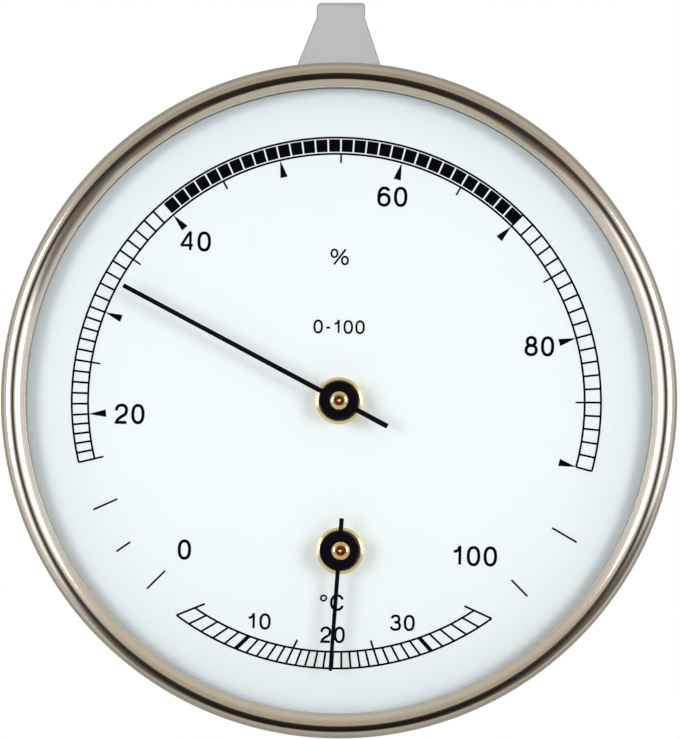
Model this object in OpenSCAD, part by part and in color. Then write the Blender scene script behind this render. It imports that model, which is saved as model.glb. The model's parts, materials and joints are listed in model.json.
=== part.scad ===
// Round wall-hung thermo-hygrometer: a humidity movement with a toothed sector and a bimetal thermometer,
// behind one printed dial in a pressed case.
// Sub-parts are drawn in the dial's own frame: x to the right, y up, z from the wall towards the viewer,
// with z = 0 on the case's back. The module hung() turns that frame upright, with the front towards -Y.

/* [Case] */
// Diameter over the bezel ring
bezel_d = 103; // [102:0.5:106]
// Width of the bezel ring seen from the front
bezel_w = 3.7; // [3.4:0.1:4.2]
// Depth from the wall to the crest of the bezel ring
case_depth = 30; // [29:0.5:34]
// Outer diameter of the can behind the ring
can_d = 89; // [88:0.5:90]
// Sheet thickness of the can
can_wall = 0.8; // [0.6:0.1:1]
// Sheet thickness of the bezel ring
bezel_wall = 0.6; // [0.5:0.05:0.7]
// Thickness of the glass
lens_t = 2; // [1.5:0.1:2.5]
// Gap between the dial and the glass
dial_gap = 5.5; // [5.2:0.1:6]
// Thickness of the dial sheet
dial_t = 0.5; // [0.4:0.1:0.8]
// Number of air slots in the case's back
slot_count = 8; // [6:1:10]

/* [Hanger] */
// Height of the strap's top above the dial's centre
lug_top = 62.6; // [60:0.1:64]
// Width of the strap at its top
lug_top_w = 7.7; // [6.5:0.1:9]
// Width of the strap at its foot
lug_foot_w = 13.3; // [12:0.1:14]
// Diameter of the hanging hole
hang_hole_d = 4.2; // [3.5:0.1:4.4]
// Height of the hanging hole above the dial's centre
hang_hole_y = 48.8; // [48.6:0.1:49]

/* [Humidity movement] */
// Place of the adjuster's post right of the large hub
adjuster_x = 35; // [33:0.5:35]
// Length of the short arms that hold the strand
arm_len = 5; // [4.5:0.1:5.2]
// Large hand's angle at rest, clockwise from the top
hygro_rest = -61.9; // [-130:0.1:130]
// Large hand's length from hub to tip
hygro_len = 37.5; // [34:0.5:38]
// Large hand's length behind the hub
hygro_tail = 8.4; // [7:0.1:9]

/* [Thermometer] */
// Height of the small hub below the large one
thermo_drop = 23; // [22:0.1:23.5]
// Place of the small hub right of the large one
thermo_x = 0.15; // [-0.5:0.05:0.5]
// Small hand's angle at rest, clockwise from the top
thermo_rest = 184; // [110:0.5:250]
// Small hand's length from hub to tip
thermo_len = 18.3; // [16:0.1:18.5]
// Small hand's length behind the hub
thermo_tail = 4.8; // [4:0.1:5.5]
// Turns of the bimetal coil
coil_turns = 3.5; // [2.5:1:3.5]

/* [Hidden] */
$fn = 64;
small = 32;
lens_fit = 0.5;
shake = 0.02;
running = 0.03;

// Toothed sector and pinion: the pivot's distance from the hub is module * (teeth + teeth) / 2
tooth_module = 0.4;
pinion_teeth = 10;
sector_teeth = 120;
pivot_x = -24;
pivot_y = 10;

// Places across the dial
hub = [0, 0];
lever_at = [pivot_x, pivot_y];
adjuster_at = [adjuster_x, pivot_y];
thermo_at = [thermo_x, -thermo_drop];
mesh_angle = atan2(-pivot_y, -pivot_x);
lever_dir = lever_at / norm(lever_at);
pillar_places = [lever_dir * 37, [27, 7.5], [0, -9]];

// Heights of the front stack, from the ring's crest back to the can's flange
bezel_r = bezel_d / 2;
bead_out = bezel_w * 0.46;
bead_in = bezel_w - bead_out;
crest_r = bezel_r - bead_out;
lip_r = bezel_r - bezel_w;
lip_z = case_depth - bead_in;
gasket_t = 0.5;
gasket_shows = 0.1;
lens_z = lip_z - gasket_t - lens_t;
dial_z = lens_z - dial_gap;
dial_back = dial_z - dial_t;
flange_z = dial_back - can_wall;
curl_r = 0.3 + bezel_wall;
bore_r = bezel_r - bezel_wall;
stack_r = bore_r - lens_fit;

// Case
can_r = can_d / 2;
corner_r = 3;
slot_w = 2.2;
slot_len = 9;
slot_r = 23;
groove_r = 31.5;
groove_w = 1.4;
groove_deep = 0.6;
access_r = 2.75;

// Hanger
lug_t = 1;
lug_z = 3;
bend_r = 1;
lug_flare_y = [lug_top - 2.5, lug_top - 9.5];
lug_foot_z = [5, 15];
rivet_z = [7.5, 12.5];
rivet_r = 1.2;

// Bushes, plates and arbors
bush_r = 3.62;
bush_t = 1.2;
washer_t = 0.35;
collar_edge_r = 3.25;
barrel_r = 2.3;
barrel_len = 3.2;
bush_bore = 0.65;
plate_t = 1.2;
plate_z = dial_back - plate_t;
nut_t = 1.6;
nut_af = 7;
plate_end_r = 5;
plate_arm_w = 8;
plate_hub_r = 6.5;
bridge_z = 5;
pillar_r = 2;
tenon_r = 1.2;
screw_r = 0.9;
screw_head_r = 1.8;
screw_head_t = 1.3;
screw_len = 4;
arbor_r = 0.6;
arbor_pivot_r = 0.4;
arbor_tip_r = 0.34;
arbor_top = dial_z + 4.1;
lever_arbor_r = 0.8;
lever_pivot_r = 0.5;
lever_seat_r = 1.5;
lever_flange_r = 2.2;
adjuster_foot_r = 2;
adjuster_seat_r = 1.5;
adjuster_tip_r = 1;
adjuster_collar_r = 3;
bracket_z = 8;

// Gearing
pressure_angle = 25;
sector_r = tooth_module * sector_teeth / 2;
pinion_r = tooth_module * pinion_teeth / 2;
sector_addendum = 0.85 * tooth_module;
pinion_addendum = tooth_module;
dedendum = 1.15 * tooth_module;
flank_play = 0.025;
flank_steps = 6;
lever_low = -16.55;
lever_high = 6.05;
sector_band = 2;
sector_z = 10.5;
sheet_t = 1;

// Strand
strand_z = sector_z + sheet_t + 1.3;
strand_y = pivot_y + arm_len;
filament_r = 0.13;
filament_pitch = 0.34;
eyelet_r = 1.4;
eyelet_h = 1.2;
eyelet_len = 5;
sleeve_r = 0.6;
strand_pin_r = 0.6;
pin_head_r = 0.95;
pin_head_z = sector_z + 3.3;

// Spirals
hairspring_turns = 5.25;
hairspring_t = 0.15;
hairspring_h = 0.9;
hairspring_r = 6.5;
hairspring_z = plate_z - nut_t - 2;
collet_r = 1.9;
coil_t = 0.35;
coil_h = 2.6;
coil_r = 8.6;
coil_z = 11.2;
coil_stud_r = 0.8;
hairspring_stud_r = 0.6;
spiral_steps = 36;
hairspring_end = atan2(pivot_y, adjuster_x);
coil_end = -90;

// Hands
hand_z = dial_z + 2.1;
hand_t = 0.3;
boss_r = 2.95;
boss_t = 0.8;
hygro_hand_w = [0.68, 0.56];
thermo_hand_w = [0.57, 0.45];
ferrule_r = 1;
cap_r = 1.45;
cap_t = 1.2;
dome_h = 0.65;
recess_r = 0.72;
recess_deep = 0.7;

STEEL = [0.74, 0.72, 0.68];
TIN = [0.72, 0.73, 0.73];
BRASS = [0.83, 0.65, 0.32];
INK = [0.05, 0.05, 0.07];
SCREW = [0.5, 0.51, 0.53];

// Turns the dial's frame upright: x stays, up becomes +Z and the viewer's side becomes -Y
module hung() {
  rotate([90, 0, 0]) children();
}

module at(place, z = 0) {
  translate([place[0], place[1], z]) children();
}

// A round-ended bar between two places
module bar(a, b, r) {
  d = b - a;
  translate(a) circle(r);
  translate(b) circle(r);
  translate(a) rotate(atan2(d[1], d[0])) translate([0, -r]) square([norm(d), 2 * r]);
}

function arc(centre, r, from, to, steps = 8) =
  [for (i = [0:steps]) let (a = from + (to - from) * i / steps) centre + r * [cos(a), sin(a)]];

// Case

// One rolled strip: half-round bead in front, plain skirt, and a curl behind the can's flange
module bezel_ring() {
  bead_z = case_depth - bead_out;
  curl_at = [bezel_r - curl_r, flange_z + 0.3];
  outer = concat(
    arc([crest_r, lip_z], bead_in, 180, 90),
    arc([crest_r, bead_z], bead_out, 90, 0),
    arc(curl_at, curl_r, 0, -90, 5),
    [[can_r + 1.7, curl_at[1] - curl_r], [can_r + 1.7, flange_z]]
  );
  inner = concat(
    arc(curl_at, 0.3, -90, 0, 4),
    arc([crest_r, bead_z], bead_out - bezel_wall, 0, 90),
    arc([crest_r, lip_z], bead_in - bezel_wall, 90, 180)
  );
  color(STEEL) rotate_extrude($fn = 128) polygon(concat(outer, inner));
}

module lens() {
  color([0.85, 0.93, 0.92, 0.3]) at(hub, lens_z) cylinder(r = stack_r, h = lens_t, $fn = 128);
}

module tube(r_out, r_in, h) {
  difference() {
    cylinder(r = r_out, h = h);
    translate([0, 0, -1]) cylinder(r = r_in, h = h + 2);
  }
}

module lens_gasket() {
  color([0.3, 0.31, 0.28]) at(hub, lip_z - gasket_t)
    tube(stack_r, lip_r - gasket_shows, gasket_t, $fn = 128);
}

module spacer_ring() {
  color(TIN) at(hub, dial_z) tube(stack_r, lip_r + 0.5, dial_gap, $fn = 128);
}

module dial() {
  color("white") difference() {
    at(hub, dial_back) cylinder(r = stack_r, h = dial_t, $fn = 128);
    at(hub, dial_back - 1) cylinder(r = barrel_r + shake, h = dial_t + 2);
    at(thermo_at, dial_back - 1) cylinder(r = barrel_r + shake, h = dial_t + 2);
  }
}

// Pressed cup with a stiffening groove round the back and a flange under the dial
module can_profile() {
  flange_bend = 1;
  half = groove_w / 2;
  in_half = half + can_wall / 2;
  polygon(concat(
    [[0, 0], [groove_r - 2 * half, 0], [groove_r - half, groove_deep],
     [groove_r + half, groove_deep], [groove_r + 2 * half, 0]],
    arc([can_r - corner_r, corner_r], corner_r, -90, 0),
    arc([can_r + flange_bend, flange_z - flange_bend], flange_bend, 180, 90, 5),
    [[stack_r + 0.2, flange_z], [stack_r + 0.2, dial_back]],
    arc([can_r + flange_bend, flange_z - flange_bend], flange_bend + can_wall, 90, 180, 5),
    arc([can_r - corner_r, corner_r], corner_r - can_wall, 0, -90),
    [[groove_r + half + in_half, can_wall], [groove_r + in_half, groove_deep + can_wall],
     [groove_r - in_half, groove_deep + can_wall], [groove_r - half - in_half, can_wall],
     [0, can_wall]]
  ));
}

module rivet_places() {
  for (z = rivet_z) translate([0, 0, z]) rotate([-90, 0, 0]) children();
}

module case_can() {
  color(TIN) difference() {
    rotate_extrude($fn = 128) can_profile();
    for (i = [0:slot_count - 1])
      rotate(360 / slot_count * (i + 0.5)) translate([0, 0, -1]) linear_extrude(can_wall + 2)
        bar([slot_r - slot_len / 2, 0], [slot_r + slot_len / 2, 0], slot_w / 2, $fn = small);
    at(adjuster_at, -1) cylinder(r = access_r, h = can_wall + 2);
    rivet_places() translate([0, 0, can_r - 5]) cylinder(r = rivet_r + shake, h = 8, $fn = small);
  }
}

// Strap seen from the front: narrow head, flare, then a straight foot
module lug_outline() {
  half_top = lug_top_w / 2;
  half_foot = lug_foot_w / 2;
  neck = 0.4;
  soft = 0.15;
  polygon([
    [-half_top + neck, lug_top + 1], [half_top - neck, lug_top + 1], [half_top, lug_top - neck],
    [half_top, lug_flare_y[0]], [half_foot - soft, lug_flare_y[1]], [half_foot, lug_flare_y[1] - 1],
    [half_foot, 0], [-half_foot, 0], [-half_foot, lug_flare_y[1] - 1], [-half_foot + soft, lug_flare_y[1]],
    [-half_top, lug_flare_y[0]], [-half_top, lug_top - neck]
  ]);
}

// Strap seen from the side: foot bend, upright and the lip that turns back to the wall.
// Its first coordinate is the height above the dial's centre, its second the distance from the wall.
module lug_side() {
  foot_y = can_r + 0.03;
  bend = bend_r + lug_t;
  low = [foot_y + bend, lug_z + bend];
  high = [lug_top - bend, lug_z + lug_t - bend];
  polygon(concat(
    arc(low, bend, 180, 270),
    arc(high, bend_r, 90, 0),
    [[lug_top - lug_t, 0], [lug_top, 0]],
    arc(high, bend, 0, 90),
    arc(low, bend_r, 270, 180)
  ));
}

module hanger_lug() {
  foot_in = can_r + 0.03;
  color(TIN) difference() {
    union() {
      intersection() {
        rotate([90, 0, 90]) linear_extrude(lug_foot_w + 2, center = true) lug_side();
        linear_extrude(20) lug_outline();
      }
      intersection() {
        at(hub, lug_foot_z[0]) tube(foot_in + lug_t, foot_in, lug_foot_z[1] - lug_foot_z[0], $fn = 128);
        translate([-lug_foot_w / 2 + 1, 0, 0]) cube([lug_foot_w - 2, can_d, case_depth]);
      }
    }
    at([0, hang_hole_y], -1) cylinder(r = hang_hole_d / 2, h = 10);
    rivet_places() translate([0, 0, can_r - 2]) cylinder(r = rivet_r + shake, h = 5, $fn = small);
  }
}

// Round head outside on the strap, upset end inside the can
module rivet() {
  head_r = 2.1;
  tail_r = 1.9;
  inside = can_r - can_wall;
  outside = can_r + 0.03 + lug_t;
  rotate_extrude($fn = small) polygon(concat(
    [[0, inside - 0.7], [tail_r, inside - 0.7], [tail_r, inside - 0.05]],
    [[rivet_r, inside - 0.05], [rivet_r, outside]],
    [for (i = [0:5]) [head_r * cos(18 * i), outside + 0.9 * sin(18 * i)]]
  ));
}

module hanger_rivets() {
  color(SCREW) rivet_places() rivet();
}

// Hubs

// Collar on a thin washer-like foot, with a barrel through the dial and the plate behind it
module bush() {
  foot_round = 0.2;
  collar_round = 0.22;
  top = dial_z + bush_t;
  cup_r = 2.6;
  cup_deep = 0.3;
  rotate_extrude() polygon(concat(
    [[bush_bore, dial_back - barrel_len], [barrel_r, dial_back - barrel_len], [barrel_r, dial_z],
     [bush_r, dial_z]],
    arc([bush_r - foot_round, dial_z + washer_t - foot_round], foot_round, 0, 90, 4),
    [[collar_edge_r, dial_z + washer_t]],
    arc([collar_edge_r - collar_round, top - collar_round], collar_round, 0, 90, 4),
    [[cup_r, top], [cup_r - 0.2, top - cup_deep], [bush_bore, top - cup_deep]]
  ));
}

module hygro_bush() {
  color(BRASS) at(hub) bush();
}

module thermo_bush() {
  color(BRASS) at(thermo_at) bush();
}

module nut() {
  difference() {
    cylinder(d = nut_af / cos(30), h = nut_t, $fn = 6);
    translate([0, 0, -1]) cylinder(r = barrel_r + shake, h = nut_t + 2);
  }
}

module hygro_nut() {
  color(BRASS) at(hub, plate_z - nut_t) rotate(15) nut();
}

module thermo_nut() {
  color(BRASS) at(thermo_at, plate_z - nut_t) nut();
}

// Humidity movement

// Outline shared by the two plates that carry the pivots: a disc with three arms that end in round pads
module plate_outline() {
  circle(plate_hub_r);
  for (p = [pillar_places[0], adjuster_at, pillar_places[2]]) {
    translate(p) circle(plate_end_r);
    rotate(atan2(p[1], p[0])) translate([0, -plate_arm_w / 2]) square([norm(p), plate_arm_w]);
  }
}

module hole(place, r, z = 0) {
  at(place, z - 1) cylinder(r = r, h = 5, $fn = small);
}

module hygro_plate() {
  stud_at = hairspring_r * [cos(hairspring_end), sin(hairspring_end)];
  color(BRASS) difference() {
    translate([0, 0, plate_z]) linear_extrude(plate_t) plate_outline();
    hole(hub, barrel_r + shake, plate_z);
    hole(lever_at, lever_pivot_r + running, plate_z);
    hole(adjuster_at, adjuster_tip_r + running, plate_z);
    hole(stud_at, hairspring_stud_r + shake, plate_z);
    for (p = pillar_places) hole(p, tenon_r + shake, plate_z);
  }
}

module pillars() {
  front = plate_z;
  back = bridge_z + plate_t;
  color(BRASS) for (p = pillar_places) at(p) difference() {
    union() {
      translate([0, 0, back]) cylinder(r = pillar_r, h = front - back, $fn = small);
      translate([0, 0, front - 1]) cylinder(r = tenon_r, h = plate_t + 0.9, $fn = small);
    }
    translate([0, 0, back - 1]) cylinder(r = screw_r + shake, h = screw_len + 1, $fn = small);
  }
}

module rear_bridge() {
  color(BRASS) difference() {
    translate([0, 0, bridge_z]) linear_extrude(plate_t) plate_outline();
    hole(hub, arbor_pivot_r + running, bridge_z);
    hole(lever_at, lever_pivot_r + running, bridge_z);
    hole(adjuster_at, adjuster_foot_r + running, bridge_z);
    for (p = pillar_places) hole(p, screw_r + 0.1, bridge_z);
  }
}

module bridge_screws() {
  color(SCREW) for (p = pillar_places) at(p) difference() {
    union() {
      translate([0, 0, bridge_z - screw_head_t]) cylinder(r = screw_head_r, h = screw_head_t, $fn = small);
      translate([0, 0, bridge_z - 0.1]) cylinder(r = screw_r, h = screw_len + 0.8, $fn = small);
    }
    translate([-3, -0.2, bridge_z - screw_head_t - 1]) cube([6, 0.4, 1.5]);
  }
}

// A post with a slot that takes a spiral's outer end; the slot lies along the angle heading
module slotted_stud(r, z_from, z_to, strip_t, strip_z, heading) {
  difference() {
    translate([0, 0, z_from]) cylinder(r = r, h = z_to - z_from, $fn = small);
    rotate(heading) translate([-3, -strip_t / 2 - shake, strip_z[0] - 0.1])
      cube([6, strip_t + 2 * shake, strip_z[1] - strip_z[0] + 0.2]);
  }
}

module hairspring_stud() {
  stud_at = hairspring_r * [cos(hairspring_end), sin(hairspring_end)];
  color(BRASS) at(stud_at)
    slotted_stud(hairspring_stud_r, hairspring_z - 0.5, dial_back - 0.1, hairspring_t,
                 [hairspring_z, hairspring_z + hairspring_h], last_heading(hairspring_points));
}

// Points of a flat spiral that ends at the angle end; r grows evenly with the turn
function spiral(r0, r1, turns, end) =
  let (n = round(turns * spiral_steps))
  [for (i = [0:n])
    let (a = end - 360 * turns * (1 - i / n), r = r0 + (r1 - r0) * i / n)
    [r, a]];

function polar(p, off = 0) = (p[0] + off) * [cos(p[1]), sin(p[1])];

// Direction of a spiral's last stretch
function last_heading(points) =
  let (n = len(points) - 1, d = polar(points[n]) - polar(points[n - 1])) atan2(d[1], d[0]);

module strip(points, t) {
  n = len(points);
  polygon(concat(
    [for (p = points) polar(p, t / 2)],
    [for (i = [n - 1:-1:0]) polar(points[i], -t / 2)]
  ));
}

// Least gap between neighbouring turns, measured on the points
function least_gap(points, t) =
  min([for (i = [0:len(points) - 1]) for (j = [i + spiral_steps * 3 / 4:len(points) - 1])
    norm(polar(points[i]) - polar(points[j]))]) - t;

hairspring_points = spiral(collet_r + hairspring_t, hairspring_r, hairspring_turns, hairspring_end);
coil_points = spiral(collet_r + coil_t, coil_r, coil_turns, coil_end);
echo(hairspring_gap = least_gap(hairspring_points, hairspring_t));
echo(bimetal_coil_gap = least_gap(coil_points, coil_t));

module hairspring() {
  color(BRASS) at(hub, hairspring_z) linear_extrude(hairspring_h) strip(hairspring_points, hairspring_t);
}

module collet(h) {
  tube(collet_r, arbor_r + shake, h, $fn = small);
}

module hairspring_collet() {
  color(BRASS) at(hub, hairspring_z - 0.4) collet(hairspring_h + 0.8);
}

// Arbor with a fine rear pivot; its turned-down, rounded front end shows in the hand's cap
module arbor(pivot_z) {
  shoulder = pivot_z + plate_t + 0.1;
  neck = arbor_top - recess_deep;
  tip = arbor_top - 0.1;
  rotate_extrude($fn = small) polygon(concat(
    [[0, pivot_z], [arbor_pivot_r, pivot_z], [arbor_pivot_r, shoulder], [arbor_r, shoulder],
     [arbor_r, neck], [arbor_tip_r, neck]],
    [for (i = [0:6]) [arbor_tip_r * cos(15 * i), tip - arbor_tip_r * (1 - sin(15 * i))]]
  ));
}

module hygro_arbor() {
  color(BRASS) at(hub) arbor(bridge_z);
}

// Involute teeth: half of a tooth's angle at radius r on a wheel of z teeth
function involute(a) = tan(a) * 180 / PI - a;
function half_tooth(r, pitch_r, z) =
  let (base = pitch_r * cos(pressure_angle))
  90 / z - flank_play / pitch_r * 180 / PI + involute(pressure_angle) - involute(acos(min(1, base / r)));

function flank(pitch_r, z, addendum) =
  let (root = pitch_r - dedendum, low = max(root, pitch_r * cos(pressure_angle)) + 0.0001)
  concat(
    [[root, half_tooth(low, pitch_r, z)]],
    [for (i = [0:flank_steps])
      let (r = low + (pitch_r + addendum - low) * i / flank_steps)
      [r, half_tooth(r, pitch_r, z)]]
  );

// Outline of the teeth from number first to last; tooth 0 is centred on the angle turned
function teeth(pitch_r, z, addendum, first, last, turned) =
  let (f = flank(pitch_r, z, addendum), n = len(f))
  [for (k = [first:last]) for (i = [0:2 * n - 1])
    let (p = i < n ? f[i] : f[2 * n - 1 - i], side = i < n ? -1 : 1)
    p[0] * [cos(turned + 360 * k / z + side * p[1]), sin(turned + 360 * k / z + side * p[1])]];

module pinion() {
  face = 3;
  color(BRASS) at(hub, sector_z + sheet_t / 2 - face / 2) difference() {
    union() {
      linear_extrude(face)
        polygon(teeth(pinion_r, pinion_teeth, pinion_addendum, 0, pinion_teeth - 1,
                      mesh_angle + 180 + 180 / pinion_teeth));
      translate([0, 0, -1.2]) cylinder(r = 1.3, h = 1.2, $fn = small);
    }
    translate([0, 0, -2]) cylinder(r = arbor_r + shake, h = face + 4, $fn = small);
  }
}

module lever_arbor() {
  shoulder = bridge_z + plate_t + 0.1;
  color(SCREW) at(lever_at) {
    translate([0, 0, shoulder]) cylinder(r = lever_arbor_r, h = plate_z - 0.2 - shoulder, $fn = small);
    translate([0, 0, bridge_z]) cylinder(r = lever_pivot_r, h = dial_back - 0.2 - bridge_z, $fn = small);
  }
}

module lever_collet() {
  color(BRASS) at(lever_at) difference() {
    union() {
      translate([0, 0, sector_z - 2]) cylinder(r = lever_flange_r, h = 2, $fn = small);
      translate([0, 0, sector_z - 0.5]) cylinder(r = lever_seat_r, h = sheet_t + 1.1, $fn = small);
    }
    translate([0, 0, sector_z - 3]) cylinder(r = lever_arbor_r + shake, h = 6, $fn = small);
  }
}

// Toothed sector on two spokes, with a counterweight tail and the short arm that the strand pulls
module sector_outline() {
  pitch = 360 / sector_teeth;
  first = floor(lever_low / pitch) - 2;
  last = ceil(lever_high / pitch) + 2;
  low = mesh_angle + (first - 0.5) * pitch;
  high = mesh_angle + (last + 0.5) * pitch;
  inner = sector_r - dedendum - sector_band;
  root = sector_r - dedendum;
  middle = (low + high) / 2;
  polygon(concat(
    teeth(sector_r, sector_teeth, sector_addendum, first, last, mesh_angle),
    arc([0, 0], root, high, high, 1),
    arc([0, 0], inner, high, low, 10),
    arc([0, 0], root, low, low, 1)
  ));
  for (a = [low + 2.5, high - 2.5]) bar([0, 0], (inner + 0.6) * [cos(a), sin(a)], 0.8);
  bar([0, 0], -4.5 * [cos(middle), sin(middle)], 1);
  translate(-5.6 * [cos(middle), sin(middle)]) circle(2);
  bar([0, 0], [0, arm_len], 1.3);
  circle(2.8);
}

module sector_lever() {
  color(BRASS) at(lever_at, sector_z) difference() {
    linear_extrude(sheet_t) sector_outline($fn = small);
    hole([0, 0], lever_seat_r + shake);
    hole([0, arm_len], strand_pin_r + shake);
  }
}

// Pin through the arm's end, with a head that keeps the eyelet on
module strand_pin() {
  translate([0, 0, sector_z]) cylinder(r = strand_pin_r, h = pin_head_z - sector_z + 0.1, $fn = small);
  translate([0, 0, pin_head_z]) cylinder(r = pin_head_r, h = 0.4, $fn = small);
}

// Crimped eyelet on the strand's end, its sleeve along +x
module eyelet() {
  difference() {
    union() {
      translate([0, 0, strand_z - eyelet_h / 2]) cylinder(r = eyelet_r, h = eyelet_h, $fn = small);
      translate([eyelet_r - 0.4, 0, strand_z]) rotate([0, 90, 0])
        cylinder(r = sleeve_r, h = eyelet_len - eyelet_r + 0.4, $fn = small);
    }
    translate([0, 0, strand_z - 2]) cylinder(r = strand_pin_r + 0.05, h = 4, $fn = small);
  }
}

module lever_pin() {
  color(SCREW) at([pivot_x, strand_y]) strand_pin();
}

module lever_eyelet() {
  color(BRASS) at([pivot_x, strand_y]) eyelet();
}

module adjuster_pin() {
  color(SCREW) at([adjuster_x, strand_y]) strand_pin();
}

module adjuster_eyelet() {
  color(BRASS) at([adjuster_x, strand_y]) mirror([1, 0, 0]) eyelet();
}

// Bundle of seven filaments stretched between the two eyelets
module fibre_strand() {
  from = pivot_x + eyelet_len;
  to = adjuster_x - eyelet_len;
  places = concat([[0, 0]], [for (i = [0:5]) filament_pitch * [cos(60 * i), sin(60 * i)]]);
  color([0.86, 0.84, 0.76]) for (p = places)
    translate([from, strand_y + p[0], strand_z + p[1]]) rotate([0, 90, 0])
      cylinder(r = filament_r, h = to - from, $fn = 16);
}

// Post held by friction in the bridge; its slotted end faces the access hole in the case's back
module adjuster_post() {
  head_z = 2.6;
  collar_z = bridge_z + plate_t + 0.1;
  color(BRASS) at(adjuster_at) difference() {
    union() {
      translate([0, 0, head_z]) cylinder(r = adjuster_foot_r, h = collar_z + 0.1 - head_z, $fn = small);
      translate([0, 0, collar_z]) cylinder(r = adjuster_collar_r, h = 1, $fn = small);
      translate([0, 0, collar_z + 0.9])
        cylinder(r = adjuster_seat_r, h = plate_z - 1.1 - collar_z, $fn = small);
      translate([0, 0, plate_z - 1]) cylinder(r = adjuster_tip_r, h = plate_t + 0.8, $fn = small);
    }
    translate([-3, -0.3, head_z - 1]) cube([6, 0.6, 2]);
  }
}

module adjuster_arm() {
  color(BRASS) at(adjuster_at, sector_z) difference() {
    union() {
      linear_extrude(sheet_t) bar([0, 0], [0, arm_len], adjuster_seat_r, $fn = small);
      translate([0, 0, -1.2]) cylinder(r = 2.6, h = 2.9, $fn = small);
    }
    hole([0, 0], adjuster_seat_r + shake, -1.2);
    hole([0, arm_len], strand_pin_r + shake);
  }
}

// Thermometer

// Bent strip: front leg on the dial's back, web below the coil, rear leg with the arbor's pivot hole
module thermo_bracket() {
  web_y = -12.6;
  turn_r = 1.6;
  deep = dial_back - bracket_z;
  color(TIN) at(thermo_at, bracket_z) difference() {
    intersection() {
      rotate([90, 0, 90]) linear_extrude(2 * plate_end_r, center = true) difference() {
        union() {
          translate([web_y + turn_r, 0]) square([plate_end_r - web_y - turn_r, deep]);
          translate([web_y, turn_r]) square([turn_r, deep - 2 * turn_r]);
          for (z = [turn_r, deep - turn_r]) translate([web_y + turn_r, z]) circle(turn_r, $fn = small);
        }
        translate([web_y + plate_t, plate_t]) square([plate_end_r - web_y, deep - 2 * plate_t]);
      }
      linear_extrude(deep) {
        circle(plate_end_r);
        translate([-plate_end_r, web_y]) square([2 * plate_end_r, -web_y]);
      }
    }
    hole([0, 0], arbor_pivot_r + running);
    hole([0, 0], barrel_r + shake, deep - plate_t);
    hole([0, -coil_r], coil_stud_r + shake);
  }
}

module coil_stud() {
  color(BRASS) at(thermo_at + [0, -coil_r])
    slotted_stud(coil_stud_r, bracket_z, coil_z + coil_h + 0.5, coil_t,
                 [coil_z, coil_z + coil_h], last_heading(coil_points));
}

module bimetal_coil() {
  color([0.62, 0.55, 0.42]) at(thermo_at, coil_z) linear_extrude(coil_h) strip(coil_points, coil_t);
}

module coil_collet() {
  color(BRASS) at(thermo_at, coil_z - 0.3) collet(coil_h + 0.6);
}

module thermo_arbor() {
  color(BRASS) at(thermo_at) arbor(bracket_z);
}

// Hands

// Flat strip with a round boss, drawn pointing up and turned clockwise to its angle
module hand(length, tail, widths, angle) {
  w_tail = widths[0];
  w_tip = widths[1];
  rotate(-angle) difference() {
    union() {
      translate([0, 0, hand_z + boss_t / 2 - hand_t / 2]) linear_extrude(hand_t) polygon([
        [-w_tail / 2, -tail], [w_tail / 2, -tail], [w_tip / 2, length - w_tip / 2],
        [w_tip / 5, length], [-w_tip / 5, length], [-w_tip / 2, length - w_tip / 2]
      ]);
      translate([0, 0, hand_z]) cylinder(r = boss_r, h = boss_t);
    }
    translate([0, 0, hand_z - 1]) cylinder(r = ferrule_r + shake, h = 3, $fn = small);
  }
}

// Domed cap with a turned recess round the arbor's end
module ferrule() {
  top = hand_z + boss_t + cap_t;
  rotate_extrude() polygon(concat(
    [[arbor_r + shake, hand_z - 0.7], [ferrule_r, hand_z - 0.7], [ferrule_r, hand_z + boss_t],
     [cap_r, hand_z + boss_t]],
    [for (i = [0:6]) [recess_r + (cap_r - recess_r) * cos(15 * i), top - dome_h + dome_h * sin(15 * i)]],
    [[recess_r - 0.04, top - recess_deep], [arbor_r + shake, top - recess_deep]]
  ));
}

module hygro_pointer() {
  color(INK) at(hub) hand(hygro_len, hygro_tail, hygro_hand_w, hygro_rest);
}

module thermo_pointer() {
  color(INK) at(thermo_at) hand(thermo_len, thermo_tail, thermo_hand_w, thermo_rest);
}

module hygro_ferrule() {
  color(BRASS) at(hub) ferrule();
}

module thermo_ferrule() {
  color(BRASS) at(thermo_at) ferrule();
}

hung() bezel_ring();
hung() lens();
hung() lens_gasket();
hung() spacer_ring();
hung() dial();
hung() case_can();
hung() hanger_lug();
hung() hanger_rivets();
hung() hygro_bush();
hung() hygro_nut();
hung() hygro_plate();
hung() pillars();
hung() rear_bridge();
hung() bridge_screws();
hung() hairspring_stud();
hung() hairspring();
hung() hairspring_collet();
hung() hygro_arbor();
hung() pinion();
hung() hygro_ferrule();
hung() hygro_pointer();
hung() lever_arbor();
hung() lever_collet();
hung() sector_lever();
hung() lever_pin();
hung() lever_eyelet();
hung() fibre_strand();
hung() adjuster_post();
hung() adjuster_arm();
hung() adjuster_pin();
hung() adjuster_eyelet();
hung() thermo_bush();
hung() thermo_nut();
hung() thermo_bracket();
hung() coil_stud();
hung() bimetal_coil();
hung() coil_collet();
hung() thermo_arbor();
hung() thermo_ferrule();
hung() thermo_pointer();
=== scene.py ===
"""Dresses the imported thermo-hygrometer: fine metalwork, the printed dial, materials, light and camera.

Lengths below are in millimetres in the dial's own frame: x to the right, y up, and z from the wall to the
viewer, with z = 0 on the case's back. world() turns them into Blender's metres, where the front faces -Y.
Angles on the dial are in degrees clockwise from the top.
"""

import json
import math

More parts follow.
